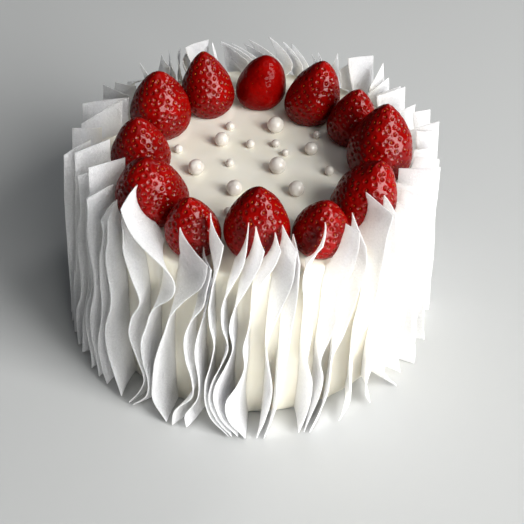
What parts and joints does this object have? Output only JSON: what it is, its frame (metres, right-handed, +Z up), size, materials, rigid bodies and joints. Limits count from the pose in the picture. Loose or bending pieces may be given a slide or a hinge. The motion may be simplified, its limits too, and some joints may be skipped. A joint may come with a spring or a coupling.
{
  "type": "strawberry bento cake",
  "caption": "Round frosted cake with upright wavy wafer paper strips round its side, a ring of whole strawberries and scattered sugar pearls on top.",
  "frame": {"origin": "centre of the frosted cake's flat underside, where it rests", "axes": "+Z up through the cake's axis; -Y is the front, the side nearest the camera in the picture; +X is to the right seen from the front"},
  "size_m": [0.1948, 0.1938, 0.1326],
  "materials": {
    "frosting": "smooth satin ivory cream cheese frosting with pearly cream sugar pearls",
    "strawberry": "glossy deep red fruit skin with sunken golden seeds",
    "wafer": "matte, slightly translucent white wafer paper"
  },
  "bodies": {
    "root": {"frosted_core": "frosting", "strawberry_01": "strawberry", "strawberry_02": "strawberry", "strawberry_03": "strawberry", "strawberry_04": "strawberry", "strawberry_05": "strawberry", "strawberry_06": "strawberry", "strawberry_07": "strawberry", "strawberry_08": "strawberry", "strawberry_09": "strawberry", "strawberry_10": "strawberry", "strawberry_11": "strawberry", "strawberry_12": "strawberry", "wafer_strip_01": "wafer", "wafer_strip_02": "wafer", "wafer_strip_03": "wafer", "wafer_strip_04": "wafer", "wafer_strip_05": "wafer", "wafer_strip_06": "wafer", "wafer_strip_07": "wafer", "wafer_strip_08": "wafer", "wafer_strip_09": "wafer", "wafer_strip_10": "wafer", "wafer_strip_11": "wafer", "wafer_strip_12": "wafer", "wafer_strip_13": "wafer", "wafer_strip_14": "wafer", "wafer_strip_15": "wafer", "wafer_strip_16": "wafer", "wafer_strip_17": "wafer", "wafer_strip_18": "wafer", "wafer_strip_19": "wafer", "wafer_strip_20": "wafer", "wafer_strip_21": "wafer", "wafer_strip_22": "wafer", "wafer_strip_23": "wafer", "wafer_strip_24": "wafer", "wafer_strip_25": "wafer", "wafer_strip_26": "wafer", "wafer_strip_27": "wafer", "wafer_strip_28": "wafer", "wafer_strip_29": "wafer", "wafer_strip_30": "wafer", "wafer_strip_31": "wafer", "wafer_strip_32": "wafer", "wafer_strip_33": "wafer", "wafer_strip_34": "wafer", "wafer_strip_35": "wafer", "wafer_strip_36": "wafer", "wafer_strip_37": "wafer", "wafer_strip_38": "wafer", "wafer_strip_39": "wafer", "wafer_strip_40": "wafer", "wafer_strip_41": "wafer", "wafer_strip_42": "wafer", "wafer_strip_43": "wafer", "wafer_strip_44": "wafer", "wafer_strip_45": "wafer", "wafer_strip_46": "wafer", "wafer_strip_47": "wafer"}
  },
  "joints": []
}
